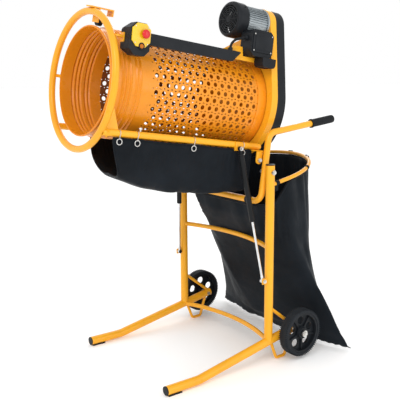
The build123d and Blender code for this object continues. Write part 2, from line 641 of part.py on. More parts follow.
def build_motor():
    body = cylinder(MOTOR_R, (MOTOR_START + 8, 0, 0), (DISH_FRONT, 0, 0), 34.0)
    front = cylinder(MOTOR_R - 2, (MOTOR_START, 0, 0), (MOTOR_START + 8, 0, 0), 7.0 + RUN)
    rear = cylinder(34.0, (DISH_FRONT - 10, 0, 0), (DISH_FRONT, 0, 0), 7.0 + RUN)
    fins = []
    for i in range(FINS):
        angle = i * 360.0 / FINS
        fin = block((MOTOR_START + 14, -1.1, MOTOR_R - 1.5), (DISH_FRONT - 12, 1.1, MOTOR_R + FIN))
        fins.append(Rot(angle, 0, 0) * fin)
    flange = cylinder(MOTOR_R + FIN + 2, (DISH_FRONT - 9, 0, 0), (DISH_FRONT, 0, 0), 34.0)
    carried("motor_body", at_motor(body + front + rear + flange + fins))

    cowl = cylinder(COWL_R, (COWL_START, 0, 0), (MOTOR_START + 6, 0, 0))
    cowl = chamfer(cowl.edges().sort_by(Axis.X)[0], 7.0)
    cowl -= cylinder(COWL_R - 2.5, (COWL_START + 2.5, 0, 0), (MOTOR_START, 0, 0))
    cowl -= cylinder(MOTOR_R + FIN + SEAT, (MOTOR_START, 0, 0), (MOTOR_START + 9, 0, 0))
    for radius in GRILLE:
        count = int(radius / 3.2)
        for i in range(count):
            hole = cylinder(3.0, (COWL_START - 3, 0, radius), (COWL_START + 5, 0, radius))
            cowl -= Rot(360.0 * i / count, 0, 0) * hole
    cowl = max(cowl.solids(), key=lambda solid: solid.volume)
    carried("fan_cowl", at_motor(cowl))

    core = cylinder(33.4, (MOTOR_START + 22, 0, 0), (DISH_FRONT - 16, 0, 0), 7.0)
    shaft = cylinder(7.0, (COWL_START + 12, 0, 0), (BELT_A_S + BELT_W + 4, 0, 0))
    pulley = cylinder(MOTOR_PULLEY_R, (BELT_A_S - 1, 0, 0), (BELT_A_S + BELT_W + 1, 0, 0))
    carried("motor_rotor", at_motor(core + shaft + pulley))
    fan = cylinder(18.0, (COWL_START + 16, 0, 0), (COWL_START + 34, 0, 0), 7.0)
    blades = [Rot(i * 60, 0, 0) * block((COWL_START + 18, -1.5, 16), (COWL_START + 34, 1.5, 58)) for i in range(6)]
    carried("motor_fan", at_motor(fan + blades))


# ---- electrics ----------------------------------------------------------------------------------
def chamfered_block(low, high, cut, axis):
    """A box with its four edges along one axis cut off."""
    body = block(low, high)
    return chamfer(body.edges().filter_by(axis), cut)


def build_electrics():
    box = chamfered_block((BOX_S[0], BOX_Y[0], BOX_V[0]), (BOX_S[1], BOX_Y[1], BOX_V[1]), 16.0, Axis.Y)
    box -= at_motor(cylinder(COWL_R + SEAT, (BOX_S[0] - 9, 0, 0), (BOX_S[1] + 9, 0, 0)))
    box = max(box.solids(), key=lambda solid: solid.volume)
    (s0, v0), (s1, v1) = CABLE[:2]
    box -= cylinder(CABLE_R + SEAT, (s0, CABLE_Y, v0), (s1, CABLE_Y, v1))
    carried("terminal_box", box)
    hood = block((INLET_S[0], INLET_Y[0], INLET_LOW), (INLET_S[1], INLET_Y[1], BOX_V[0] - SEAT))
    hood = fillet(hood.edges().filter_by(Axis.Y).sort_by(Axis.Z)[:2], 16.0)
    roof = BOX_V[0] - 12
    hood -= block((INLET_S[0] + 12, INLET_Y[0] + 8, INLET_LOW - 12), (INLET_S[1] - 12, INLET_Y[1] - 8, roof))
    first_pin = sum(INLET_S) / 2 - 13.5
    pins = [
        block((first_pin + 12 * i, -219, INLET_LOW + 8), (first_pin + 12 * i + 3, -213, roof + 1)) for i in range(3)
    ]
    carried("power_inlet", hood + pins)

    channel = block(
        (CONDUIT_S[0], CONDUIT_Y[0], CONDUIT_V[0]), (CONDUIT_S[1], CONDUIT_Y[1], CONDUIT_V[1])
    )
    bottom_end = channel.edges().filter_by(Axis.Y).sort_by(Axis.X)[-2:].sort_by(Axis.Z)[0]
    channel = chamfer(bottom_end, 36.0)
    end_s, end_v = CABLE[-1]
    channel -= cylinder(CABLE_R + SEAT, (end_s, CABLE_Y, end_v), (end_s, CABLE_Y, CONDUIT_V[1] + 5))
    carried("conduit", channel)

    cable = bent_tube([(s, CABLE_Y, v) for s, v in CABLE], 30, 2 * CABLE_R, wall=0)
    carried("motor_cable", cable)

    switch = chamfered_block(
        (SWITCH_S[0], SWITCH_Y[0], SWITCH_V[0]), (SWITCH_S[1], SWITCH_Y[1], SWITCH_V[1]), SWITCH_CUT, Axis.Y
    )
    far_top = switch.edges().filter_by(Axis.X).sort_by(Axis.Z)[-2:].sort_by(Axis.Y)[-1]
    switch = chamfer(far_top, 26.0)
    far_low = switch.edges().filter_by(Axis.X).sort_by(Axis.Z)[:2].sort_by(Axis.Y)[-1]
    switch = chamfer(far_low, 24.0)
    plate = chamfered_block(
        (PLATE_S[0], SWITCH_Y[0] - 4, PLATE_V[0]), (PLATE_S[1], SWITCH_Y[0], PLATE_V[1]), 19.0, Axis.Y
    )
    for (s, v), radius in ((STOP, 6.0), (START, START_R)):
        hole = cylinder(radius + GAP, (s, SWITCH_Y[0] - 9, v), (s, SWITCH_Y[0] + 22, v))
        switch -= hole
        plate -= hole
    carried("switch_box", switch)
    carried("switch_plate", plate)
    front = SWITCH_Y[0] - 4
    knob = cylinder(STOP_R, (STOP[0], front - 16, STOP[1]), (STOP[0], front - 6, STOP[1]))
    knob += cylinder(6.0, (STOP[0], front - 6, STOP[1]), (STOP[0], front + 12, STOP[1]))
    carried("stop_knob", knob)
    carried("start_button", cylinder(START_R, (START[0], front - 4, START[1]), (START[0], front + 10, START[1])))

    # straps that carry the switch box and the conduit
    face = SWITCH_S[0] - SEAT
    strap = block((6, -216, 155), (face, -194, 161)) + block((face - 4, -216, 140), (face, -194, 172))
    strap = strap - ring_about_s(HOOP_R, CARRIER_TUBE + 2 * SEAT)
    strap = max(strap.solids(), key=lambda solid: solid.volume)
    arm = Plane.XZ.offset(CONDUIT_Y[1] * -1 - 3.0) * make_face(
        Polyline(
            (468, CONDUIT_V[1] - 6), (560, 212), (598, 212), (604, 177), (DISH_FRONT, 177), (DISH_FRONT, 160),
            (468, 160), close=True,
        )
    )
    arm = extrude(arm, amount=3.0, dir=(0, -1, 0))
    carried("electric_brackets", Compound(children=[strap, arm.solid()]))


# ---- gas struts ---------------------------------------------------------------------------------
def build_struts():
    top_s, top_y, top_v = STRUT_TOP
    for side, sign in SIDES.items():
        low = Vector(STRUT_LOW[0], sign * STRUT_LOW[1], STRUT_LOW[2])
        top = carrier_point(top_s, sign * top_y, top_v)
        along = (top - low).normalized()
        reach = (top - low).length

        def at(distance):
            return tuple(low + along * distance)

        def socket(point, outward):
            # a round cup, closed on the side away from the stud
            closed = point.Y - outward * 8
            mouth = point.Y + outward * 4.5
            return cylinder(SOCKET_R, (point.X, closed, point.Z), (point.X, mouth, point.Z))

        rod = cylinder(STRUT_ROD_R, at(5), at(320)) + cylinder(6.0, at(6), at(24)) + socket(low, sign)
        nodes[f"strut_rod_{side}"] = rod - Pos(*low) * Sphere(BALL_R + RUN)
        barrel = cylinder(STRUT_TUBE_R, at(250), at(reach - 26))
        barrel -= cylinder(STRUT_ROD_R + RUN, at(240), at(reach - 125))
        nodes[f"strut_tube_{side}"] = barrel + cylinder(6.0, at(reach - 27), at(reach - 4)) + socket(top, -sign)

    def bracket(sign):
        # a pad and stud on the rail, whose end just clears the strut's eye
        outer = RAIL_Y + CARRIER_TUBE / 2
        y0, y1 = sorted((sign * (outer - 6), sign * (outer + 3)))
        pad = block((top_s - 16, y0, RAIL_V - 24), (top_s + 16, y1, RAIL_V + 10))
        y0, y1 = sorted((sign * (outer + 1), sign * (top_y - 6)))
        stud = cylinder(6.0, (top_s, y0, top_v), (top_s, y1, top_v))
        rail = cylinder(CARRIER_TUBE / 2 + SEAT, (0, sign * RAIL_Y, RAIL_V), (DISH_FRONT, sign * RAIL_Y, RAIL_V))
        return max((pad + stud - rail).solids(), key=lambda solid: solid.volume)

    carried("strut_brackets", both_sides(bracket))


# ---- apron --------------------------------------------------------------------------------------
def build_apron():
    """A cloth trough that hangs between the rails and leads down to the rear crossbar."""
    def section(near_s, far_s, floor_v, near_y, far_y, bend_y, bend_v):
        t = APRON_T
        outline = [
            (-APRON_EDGE_Y, APRON_TOP), (near_y, floor_v), (far_y, floor_v), (bend_y, bend_v),
            (APRON_EDGE_Y, APRON_TOP), (APRON_EDGE_Y - t, APRON_TOP), (bend_y - t, bend_v + t / 2),
            (far_y - t / 2, floor_v + t), (near_y + t, floor_v + t), (-APRON_EDGE_Y + t, APRON_TOP),
        ]
        span = 2 * APRON_EDGE_Y
        skew = (far_s - near_s) / span
        points = [(near_s + (y + APRON_EDGE_Y) * skew, y, v) for y, v in outline]
        return make_face(Polyline(*points, close=True))

    carried("apron", loft([section(*numbers) for numbers in APRON_SECTIONS], ruled=True))

    pieces = []
    for sign, places in HOOKS.items():
        for s in places:
            y = sign * (APRON_EDGE_Y + 2.6)
            eyelet = Pos(s, y, APRON_TOP - 6) * (Rot(90, 0, 0) * Torus(EYELET_R, 1.6))
            hook = cylinder(1.6, (s, y, APRON_TOP - 6 + EYELET_R), (s, y, RAIL_V - 4))
            hook -= cylinder(CARRIER_TUBE / 2 + SEAT, (s - 9, sign * RAIL_Y, RAIL_V), (s + 9, sign * RAIL_Y, RAIL_V))
            hook = min(hook.solids(), key=lambda solid: solid.center().Z)
            pieces.append((eyelet + hook).solid())
    carried("apron_hooks", Compound(children=pieces))


def build_wheels():
    for side, sign in SIDES.items():
        y0 = sign * WHEEL_Y - WHEEL_WIDTH / 2
        y1 = sign * WHEEL_Y + WHEEL_WIDTH / 2
        rim = cylinder(WHEEL_R - 16, (AXLE_X, y0 + 3, AXLE_Z), (AXLE_X, y1 - 3, AXLE_Z), WHEEL_R - 24)
        hub = cylinder(20.0, (AXLE_X, y0, AXLE_Z), (AXLE_X, y1, AXLE_Z), 8.0 + RUN)
        web = cylinder(WHEEL_R - 20, (AXLE_X, y0 + 19, AXLE_Z), (AXLE_X, y0 + 25, AXLE_Z), 16.0)
        for i in range(5):
            window = Pos(AXLE_X, y0 + 22, AXLE_Z) * Rot(0, i * 72, 0) * Pos(0, 0, 52) * Rot(90, 0, 0) * Cylinder(17, 20)
            web -= window
        nodes[f"wheel_{side}"] = rim + hub + web
        tyre = cylinder(WHEEL_R, (AXLE_X, y0, AXLE_Z), (AXLE_X, y1, AXLE_Z), WHEEL_R - 16)
        nodes[f"tyre_{side}"] = fillet(
            tyre.edges().filter_by(lambda e: e.geom_type == GeomType.CIRCLE and e.radius > WHEEL_R - 1), 8.0
        )


def write_parts():
    os.makedirs("parts", exist_ok=True)
    shift = Pos(-ORIGIN_X, 0, 0)
    for name, shape in nodes.items():
        export_step(shift * shape, f"parts/{name}.step")


build_stand()
build_sack()
build_carrier_frame()
build_rollers()
build_drum()
build_housing()
build_motor()
build_electrics()
build_struts()
build_apron()
build_wheels()
write_parts()
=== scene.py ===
import json
from math import asin, cos, exp, hypot, pi, radians, sin

import bmesh
import bpy
from mathutils import Matrix, Vector, noise


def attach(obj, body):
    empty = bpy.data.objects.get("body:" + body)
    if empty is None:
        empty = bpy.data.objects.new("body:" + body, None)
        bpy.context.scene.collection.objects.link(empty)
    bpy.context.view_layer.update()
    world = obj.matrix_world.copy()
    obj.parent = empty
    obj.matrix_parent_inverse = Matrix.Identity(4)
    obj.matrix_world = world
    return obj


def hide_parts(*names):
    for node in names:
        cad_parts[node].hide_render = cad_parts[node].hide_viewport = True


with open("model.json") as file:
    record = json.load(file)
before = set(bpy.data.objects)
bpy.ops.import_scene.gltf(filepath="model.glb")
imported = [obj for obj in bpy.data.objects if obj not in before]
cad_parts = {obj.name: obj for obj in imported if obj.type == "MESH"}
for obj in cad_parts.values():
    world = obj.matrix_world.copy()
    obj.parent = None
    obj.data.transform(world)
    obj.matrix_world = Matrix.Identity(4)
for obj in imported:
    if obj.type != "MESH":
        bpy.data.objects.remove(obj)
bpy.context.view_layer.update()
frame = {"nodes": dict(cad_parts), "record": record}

# ---- the row's own dimensions, in metres --------------------------------------------------------
TILT = radians(8.0)
HOOP_CENTRE = Vector((-0.513, 0.0, 1.175))
UPRIGHT_X = 0.154          # row X of the uprights' plane
MOTOR_Y = -0.105
MOTOR_V = 0.323
AXLE = Vector((UPRIGHT_X + 0.133, 0.357, 0.118))

# the drum's frame: x along the axis to the rear, y across, z outward up
CARRIER = Matrix.Translation(HOOP_CENTRE) @ Matrix.Rotation(TILT, 4, "Y")
NODES = frame["nodes"]


# ---- materials ----------------------------------------------------------------------------------
def new_material(name):
    mat = bpy.data.materials.new(name)
    mat.use_nodes = True
    tree = mat.node_tree
    return mat, tree, tree.nodes["Principled BSDF"]


def add_node(tree, kind, **inputs):
    node = tree.nodes.new(kind)
    for key, value in inputs.items():
        node.inputs[key.replace("_", " ")].default_value = value
    return node


def coordinates(tree, stretch=(1.0, 1.0, 1.0)):
    coords = tree.nodes.new("ShaderNodeTexCoord")
    mapping = add_node(tree, "ShaderNodeMapping", Scale=stretch)
    tree.links.new(coords.outputs["Object"], mapping.inputs["Vector"])
    return mapping.outputs["Vector"]


def noise_node(tree, scale, detail=3.0, rough=0.5, stretch=(1.0, 1.0, 1.0)):
    node = add_node(tree, "ShaderNodeTexNoise", Scale=scale, Detail=detail, Roughness=rough)
    tree.links.new(coordinates(tree, stretch), node.inputs["Vector"])
    return node.outputs["Fac"]


def ramp(tree, source, low, high):
    """A colour ramp between (position, colour) pairs."""
    node = tree.nodes.new("ShaderNodeValToRGB")
    for element, (place, colour) in zip(node.color_ramp.elements, (low, high)):
        element.position = place
        element.color = (*colour, 1.0)
    tree.links.new(source, node.inputs["Fac"])
    return node.outputs["Color"]


def mix(tree, blend, fac, a, b):
    """Mixes two colours; each of fac, a and b is a socket or a value."""
    node = tree.nodes.new("ShaderNodeMix")
    node.data_type = "RGBA"
    node.blend_type = blend
    for socket, value in ((node.inputs[0], fac), (node.inputs[6], a), (node.inputs[7], b)):
        if isinstance(value, bpy.types.NodeSocket):
            tree.links.new(value, socket)
        else:
            socket.default_value = value if isinstance(value, float) else (*value, 1.0)
    return node.outputs[2]


def bump(tree, bsdf, heights):
    """Stacks bump layers, each (socket, strength, distance), onto the shader's normal."""
    previous = None
    for height, strength, distance in heights:
        node = add_node(tree, "ShaderNodeBump", Strength=strength, Distance=distance)
        tree.links.new(height, node.inputs["Height"])
        if previous:
            tree.links.new(previous, node.inputs["Normal"])
        previous = node.outputs["Normal"]
    tree.links.new(previous, bsdf.inputs["Normal"])


def rough_ramp(tree, bsdf, source, low, high):
    """Varies the roughness between two levels, each a (position, roughness) pair."""
    levels = [(place, (min(1.0, level),) * 3) for place, level in (low, high)]
    tree.links.new(ramp(tree, source, *levels), bsdf.inputs["Roughness"])


def shade(colour, factor):
    return tuple(min(1.0, c * factor) for c in colour)


def edge_mask(tree, low=0.52, high=0.60):
    """White on the outer edges of a mesh."""
    geometry = tree.nodes.new("ShaderNodeNewGeometry")
    return ramp(tree, geometry.outputs["Pointiness"], (low, (0, 0, 0)), (high, (1, 1, 1)))


def powder_coat(name, colour, roughness=0.32, rub_and_highlight=0.25):
    mat, tree, bsdf = new_material(name)
    mottle = ramp(tree, noise_node(tree, 7.0, 4.0), (0.3, shade(colour, 0.93)), (0.7, shade(colour, 1.04)))
    dust = ramp(tree, noise_node(tree, 40.0, 6.0, 0.65), (0.55, (0, 0, 0)), (0.85, (1, 1, 1)))
    dusty = mix(tree, "MIX", 0.0, mottle, shade(colour, 0.8))
    dusty_node = dusty.node
    tree.links.new(dust, dusty_node.inputs[0])
    # outer edges paint lighter: partly rubbed paint, partly a painted highlight along the edges
    edges = mix(tree, "MULTIPLY", 1.0, edge_mask(tree), (rub_and_highlight, rub_and_highlight, rub_and_highlight))
    rubbed_and_highlit_colour = mix(tree, "MIX", 0.0, dusty, shade(colour, 1.25))
    tree.links.new(edges, rubbed_and_highlit_colour.node.inputs[0])
    tree.links.new(rubbed_and_highlit_colour, bsdf.inputs["Base Color"])
    rough_ramp(tree, bsdf, noise_node(tree, 25.0, 5.0), (0.3, roughness * 0.8), (0.75, roughness * 1.35))
    bsdf.inputs["Specular IOR Level"].default_value = 0.3
    bsdf.inputs["Coat Weight"].default_value = 0.12
    bsdf.inputs["Coat Roughness"].default_value = 0.12
    orange_peel, waves = noise_node(tree, 650.0, 2.0), noise_node(tree, 60.0, 2.0)
    bump(tree, bsdf, [(orange_peel, 0.06, 0.0004), (waves, 0.05, 0.001)])
    return mat


def moulded(name, colour, roughness=0.5, grain=900.0, depth=0.12, gloss=0.16):
    """Plastic or rubber with a fine moulded grain and a little dust."""
    mat, tree, bsdf = new_material(name)
    tone = ramp(tree, noise_node(tree, 12.0, 5.0), (0.3, shade(colour, 0.85)), (0.75, shade(colour, 1.2)))
    dust = ramp(tree, noise_node(tree, 70.0, 6.0, 0.7), (0.62, (0, 0, 0)), (0.9, (0.35, 0.35, 0.35)))
    dusty = mix(tree, "MIX", 0.0, tone, tuple(min(1.0, c + 0.02) for c in shade(colour, 1.5)))
    tree.links.new(dust, dusty.node.inputs[0])
    tree.links.new(dusty, bsdf.inputs["Base Color"])
    rough_ramp(tree, bsdf, noise_node(tree, 45.0, 4.0), (0.3, roughness * 0.82), (0.7, roughness * 1.2))
    bsdf.inputs["Specular IOR Level"].default_value = gloss
    bump(tree, bsdf, [(noise_node(tree, grain, 2.0), depth, 0.0004)])
    return mat


def metal(name, colour, roughness=0.3, stretch=(1.0, 1.0, 1.0), depth=0.05, scale=120.0):
    """Bare or plated metal with directional scratches and dull spots."""
    mat, tree, bsdf = new_material(name)
    tone = ramp(tree, noise_node(tree, 30.0, 5.0), (0.3, shade(colour, 0.82)), (0.7, colour))
    tree.links.new(tone, bsdf.inputs["Base Color"])
    bsdf.inputs["Metallic"].default_value = 1.0
    lines = noise_node(tree, scale, 4.0, 0.6, stretch)
    rough_ramp(tree, bsdf, lines, (0.3, roughness * 0.75), (0.75, roughness * 1.5))
    bump(tree, bsdf, [(lines, depth, 0.0003)])
    return mat


def woven(name, colour, roughness=0.55, thread=900.0):
    """Coated woven cloth: crossed threads, soft mottling and a little sheen."""
    mat, tree, bsdf = new_material(name)
    warp = add_node(tree, "ShaderNodeTexWave", Scale=thread / 6.2832, Distortion=0.6, Detail=1.0)
    weft = add_node(tree, "ShaderNodeTexWave", Scale=thread / 6.2832, Distortion=0.6, Detail=1.0)
    warp.bands_direction = "Z"
    weft.bands_direction = "DIAGONAL"
    tree.links.new(coordinates(tree), warp.inputs["Vector"])
    tree.links.new(coordinates(tree, (1.0, 1.0, 0.0)), weft.inputs["Vector"])
    threads = mix(tree, "MULTIPLY", 1.0, warp.outputs["Color"], weft.outputs["Color"])
    mottle = noise_node(tree, 5.0, 6.0, 0.6)
    tone = ramp(tree, mottle, (0.3, shade(colour, 0.7)), (0.75, shade(colour, 1.7)))
    flecks = mix(tree, "MIX", 0.25, tone, mix(tree, "MULTIPLY", 1.0, tone, threads))
    tree.links.new(flecks, bsdf.inputs["Base Color"])
    rough_ramp(tree, bsdf, noise_node(tree, 14.0, 5.0), (0.3, roughness * 0.85), (0.7, roughness * 1.2))
    bsdf.inputs["Specular IOR Level"].default_value = 0.10
    bsdf.inputs["Sheen Weight"].default_value = 0.015
    bsdf.inputs["Sheen Roughness"].default_value = 0.4
    bsdf.inputs["Sheen Tint"].default_value = (0.5, 0.6, 0.7, 1.0)
    bump(tree, bsdf, [(threads, 0.25, 0.0004), (noise_node(tree, 22.0, 4.0), 0.25, 0.004)])
    return mat


ORANGE = (0.90, 0.40, 0.016)
DRUM_ORANGE = (0.80, 0.275, 0.010)
MATERIALS = {
    "orange_paint": powder_coat("orange_paint", ORANGE),
    "drum_paint": powder_coat("drum_paint", DRUM_ORANGE, 0.28),
    # a darker copy of the drum paint: painted shade for the inside of the sieve
    "painted_shade_paint": powder_coat("painted_shade_paint", (0.20, 0.055, 0.006), 0.6),
    "black_plastic": moulded("black_plastic", (0.012, 0.014, 0.017), 0.42),
    "black_rubber": moulded("black_rubber", (0.012, 0.013, 0.015), 0.62, 1400.0, 0.2),
    "wheel_tyre": moulded("wheel_tyre", (0.016, 0.019, 0.023), 0.6, 700.0, 0.25),
    "black_cloth": woven("black_cloth", (0.008, 0.011, 0.015)),
    "black_steel": moulded("black_steel", (0.010, 0.011, 0.012), 0.35, 500.0, 0.04),
    "bright_rod": metal("bright_rod", (0.78, 0.79, 0.80), 0.12, (1.0, 1.0, 0.1), 0.02, 400.0),
    "zinc": metal("zinc", (0.72, 0.71, 0.68), 0.28, (1.0, 1.0, 1.0), 0.06, 260.0),
    "motor_grey": metal("motor_grey", (0.46, 0.50, 0.52), 0.45, (0.3, 1.0, 1.0), 0.15, 300.0),
    "cast_pulley": metal("cast_pulley", (0.30, 0.30, 0.31), 0.5, (1.0, 1.0, 1.0), 0.2, 160.0),
    "yellow_plastic": moulded("yellow_plastic", (0.80, 0.50, 0.008), 0.3, 500.0, 0.04, 0.5),
    "red_plastic": moulded("red_plastic", (0.66, 0.010, 0.012), 0.25, 500.0, 0.04, 0.5),
    "green_plastic": moulded("green_plastic", (0.55, 0.16, 0.012), 0.3, 500.0, 0.04),
}
SLOTS = {part["node"]: part["material_slot"] for part in frame["record"]["subparts"]}
for node, obj in NODES.items():
    for slot in obj.material_slots:
        slot.material = MATERIALS[SLOTS[node]]


# ---- mesh helpers -------------------------------------------------------------------------------
def add_piece(name, verts, faces, material, body, place=None, smooth=True):
    mesh = bpy.data.meshes.new(name)
    mesh.from_pydata([tuple(v) for v in verts], [], faces)
    if place is not None:
        mesh.transform(place)
    tidy = bmesh.new()
    tidy.from_mesh(mesh)
    bmesh.ops.remove_doubles(tidy, verts=tidy.verts, dist=1e-6)
    bmesh.ops.recalc_face_normals(tidy, faces=tidy.faces)
    tidy.to_mesh(mesh)
    tidy.free()
    mesh.materials.append(MATERIALS[material])
    piece = bpy.data.objects.new(name, mesh)
    bpy.context.collection.objects.link(piece)
    if smooth:
        mesh.shade_smooth()
        mesh.set_sharp_from_angle(angle=radians(38.0))
    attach(piece, body)
    return piece


def lathe(profile, segments=96, closed=True):
    """Turns (x, radius) points about X. Returns vertices and faces."""
    verts, faces = [], []
    count = len(profile)
    for i in range(segments):
        a = 2 * pi * i / segments
        verts += [(x, -r * sin(a), r * cos(a)) for x, r in profile]
    spans = count if closed else count - 1
    for i in range(segments):
        j = (i + 1) % segments
        for k in range(spans):
            m = (k + 1) % count
            faces.append((i * count + k, i * count + m, j * count + m, j * count + k))
    return verts, faces


def tube(points, radius, sides=12, closed=False):
    """A round tube that follows points, with flat ends."""
    points = [Vector(p) for p in points]
    count = len(points)
    verts, faces = [], []
    normal = None
    for i, p in enumerate(points):
        before = points[i - 1] if (i or closed) else p
        after = points[(i + 1) % count] if (i < count - 1 or closed) else p
        tangent = (after - before).normalized()
        if normal is None:
            normal = tangent.orthogonal().normalized()
        normal = (normal - tangent * normal.dot(tangent)).normalized()
        side = tangent.cross(normal)
        r = radius(i / (count - 1)) if callable(radius) else radius
        turns = [2 * pi * k / sides for k in range(sides)]
        verts += [p + (normal * cos(a) + side * sin(a)) * r for a in turns]
    rings = count if closed else count - 1
    for i in range(rings):
        j = (i + 1) % count
        for k in range(sides):
            m = (k + 1) % sides
            faces.append((i * sides + k, i * sides + m, j * sides + m, j * sides + k))
    if not closed:
        faces += [tuple(range(sides)), tuple(range((count - 1) * sides, count * sides))]
    return verts, faces


def join(parts):
    verts, faces = [], []
    for v, f in parts:
        base = len(verts)
        verts += [Vector(p) for p in v]
        faces += [tuple(i + base for i in face) for face in f]
    return verts, faces


def moved(part, matrix):
    verts, faces = part
    return [matrix @ Vector(v) for v in verts], faces


def bevelled_box(low, high, bevel=0.002, segments=3, cuts=()):
    """A box with rounded edges; cuts gives planes (point, outward normal) that trim it first."""
    bm = bmesh.new()
    bmesh.ops.create_cube(bm, size=1.0)
    size = [h - l for l, h in zip(low, high)]
    middle = [(h + l) / 2 for l, h in zip(low, high)]
    bmesh.ops.scale(bm, vec=size, verts=bm.verts)
    bmesh.ops.translate(bm, vec=middle, verts=bm.verts)
    for point, normal in cuts:
        geometry = bm.verts[:] + bm.edges[:] + bm.faces[:]
        cut = bmesh.ops.bisect_plane(bm, geom=geometry, plane_co=point, plane_no=normal, clear_outer=True)
        edges = [e for e in cut["geom_cut"] if isinstance(e, bmesh.types.BMEdge)]
        bmesh.ops.edgeloop_fill(bm, edges=edges)
    bmesh.ops.bevel(bm, geom=bm.edges[:], offset=bevel, segments=segments, profile=0.5, affect="EDGES")
    bm.verts.index_update()
    part = [v.co.copy() for v in bm.verts], [tuple(v.index for v in f.verts) for f in bm.faces]
    bm.free()
    return part


def hex_bolt(radius, height, washer=True):
    """A hexagon head with a chamfered top on a washer, standing along +X from the origin."""
    rise = 0.0016 if washer else 0.0
    rings = [(rise, 1.0), (rise + height * 0.75, 1.0), (rise + height, 0.84)]
    verts = []
    for x, k in rings:
        verts += [(x, radius * k * sin(pi / 3 * i), radius * k * cos(pi / 3 * i)) for i in range(6)]
    faces = [tuple(range(6)), tuple(range(12, 18))]
    for ring in range(2):
        for i in range(6):
            j = (i + 1) % 6
            faces.append((ring * 6 + i, ring * 6 + j, ring * 6 + 6 + j, ring * 6 + 6 + i))
    head = (verts, faces)
    if not washer:
        return head
    disc = lathe([(0.0, 0.0), (0.0, radius * 1.45), (rise, radius * 1.4), (rise, 0.0)], 32)
    return join([head, disc])


def towards(point, direction):
    """Places a part drawn along +X at point, facing direction."""
    turn = Vector((1, 0, 0)).rotation_difference(Vector(direction)).to_matrix().to_4x4()
    return Matrix.Translation(point) @ turn


def carried(s, y, v):
    """A point given in the drum's frame, in millimetres, as a row point in metres."""
    return CARRIER @ Vector((s / 1000, y / 1000, v / 1000))


MM = Matrix.Scale(0.001, 4)


# ---- drum ---------------------------------------------------------------------------------------
MOUTH_S, SIEVE_START, SIEVE_END = 8.0, 186.0, 694.0
BEADS = (62.0, 78.0, 94.0, 118.0, 134.0)
BEAD = 5.0
HOLE_R = 9.0
ALONG, ROUND = 15, 40
SEAM_TURN = radians(171.0)
INNER_FACE = 0.1986        # faces nearer the axis than this are the sieve's inside, which gets painted shade


def make_drum_mouth():
    """The mouth's plain collar: a rolled lip, then smooth rolled beads."""
    def height(s):
        beads = sum(BEAD * exp(-((s - place) / 3.6) ** 2) for place in BEADS)
        return min(BEAD, beads)

    steps = [20.0 + 1.5 * i for i in range(int((SIEVE_START - 20.0) / 1.5) + 1)] + [SIEVE_START]
    outer = [(s, 200.0 + height(s)) for s in steps]
    inner = [(s, 198.0 + height(s)) for s in reversed(steps)]
    turns = [pi * (i / 10 - 0.5) for i in range(11)]
    roll = [(MOUTH_S + 3.0 - 3.0 * cos(a), 202.0 + 3.0 * sin(a)) for a in turns]
    lip = [(MOUTH_S, 198.6)] + roll[2:-1] + [(MOUTH_S + 7, 204.6), (MOUTH_S + 12, 201.6)]
    verts, faces = lathe([*lip, *outer, *inner], 160)
    piece = add_piece("mouth_collar", verts, faces, "drum_paint", "drum", CARRIER @ MM)
    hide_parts("drum_mouth")


def make_sieve():
    """The perforated sheet: staggered rows of round holes with real thickness."""
    pitch = (SIEVE_END - SIEVE_START) / ALONG
    turn = 2 * pi / ROUND
    sides = 16
    verts, faces = [], []

    def cell(s0, s1, row):
        middle_s = (s0 + s1) / 2
        square, circle = [], []
        for k in range(sides):
            a = 2 * pi * (k + 0.5) / sides
            x, y = cos(a), sin(a)
            big = 1 / max(abs(x), abs(y))
            square.append((middle_s + x * big * (s1 - s0) / 2, y * big * 0.5))
            circle.append((middle_s + x * HOLE_R, y * HOLE_R / (turn * 200.0)))
        for radius in (200.0, 198.0):
            for s, t in square + circle:
                a = (row + t) * turn
                verts.append((s, -radius * sin(a), radius * cos(a)))
        base = len(verts) - 4 * sides
        for k in range(sides):
            m = (k + 1) % sides
            o0, o1, c0, c1 = base + k, base + m, base + sides + k, base + sides + m
            low = 2 * sides
            faces.append((o0, o1, c1, c0))
            faces.append((o0 + low, c0 + low, c1 + low, o1 + low))
            faces.append((c0, c1, c1 + low, c0 + low))

    def plain(s0, s1, row):
        base = len(verts)
        for radius in (200.0, 198.0):
            for s in (s0, s1):
                for t in (-0.5, -0.25, 0.0, 0.25, 0.5):
                    a = (row + t) * turn
                    verts.append((s, -radius * sin(a), radius * cos(a)))
        for half in (0, 10):
            for k in range(4):
                first = base + half + k
                faces.append((first, first + 1, first + 6, first + 5))

    for row in range(ROUND):
        if row % 2 == 0:
            for k in range(ALONG):
                cell(SIEVE_START + k * pitch, SIEVE_START + (k + 1) * pitch, row)
        else:
            plain(SIEVE_START, SIEVE_START + pitch / 2, row)
            for k in range(ALONG - 1):
                cell(SIEVE_START + (k + 0.5) * pitch, SIEVE_START + (k + 1.5) * pitch, row)
            plain(SIEVE_END - pitch / 2, SIEVE_END, row)
    place = CARRIER @ MM @ Matrix.Rotation(turn / 2, 4, "X")
    piece = add_piece("sieve_screen", verts, faces, "drum_paint", "drum", place)
    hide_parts("sieve_sheet")
    # the sieve's inner faces take the darker paint: painted shade inside the drum
    piece.data.materials.append(MATERIALS["painted_shade_paint"])
    inverse = CARRIER.inverted()
    for face in piece.data.polygons:
        centre = inverse @ face.center
        if hypot(centre.y, centre.z) < INNER_FACE:
            face.material_index = 1
    seam = bevelled_box((SIEVE_START, -3.0, 199.8), (SIEVE_END, 3.0, 200.9), 0.4, 2)
    place = CARRIER @ Matrix.Rotation(SEAM_TURN, 4, "X")
    add_piece("screen_seam", *moved(seam, MM), "drum_paint", "drum", place)


# ---- wheels -------------------------------------------------------------------------------------
TYRE_RIBS, WHEEL_RIBS = 72, 5


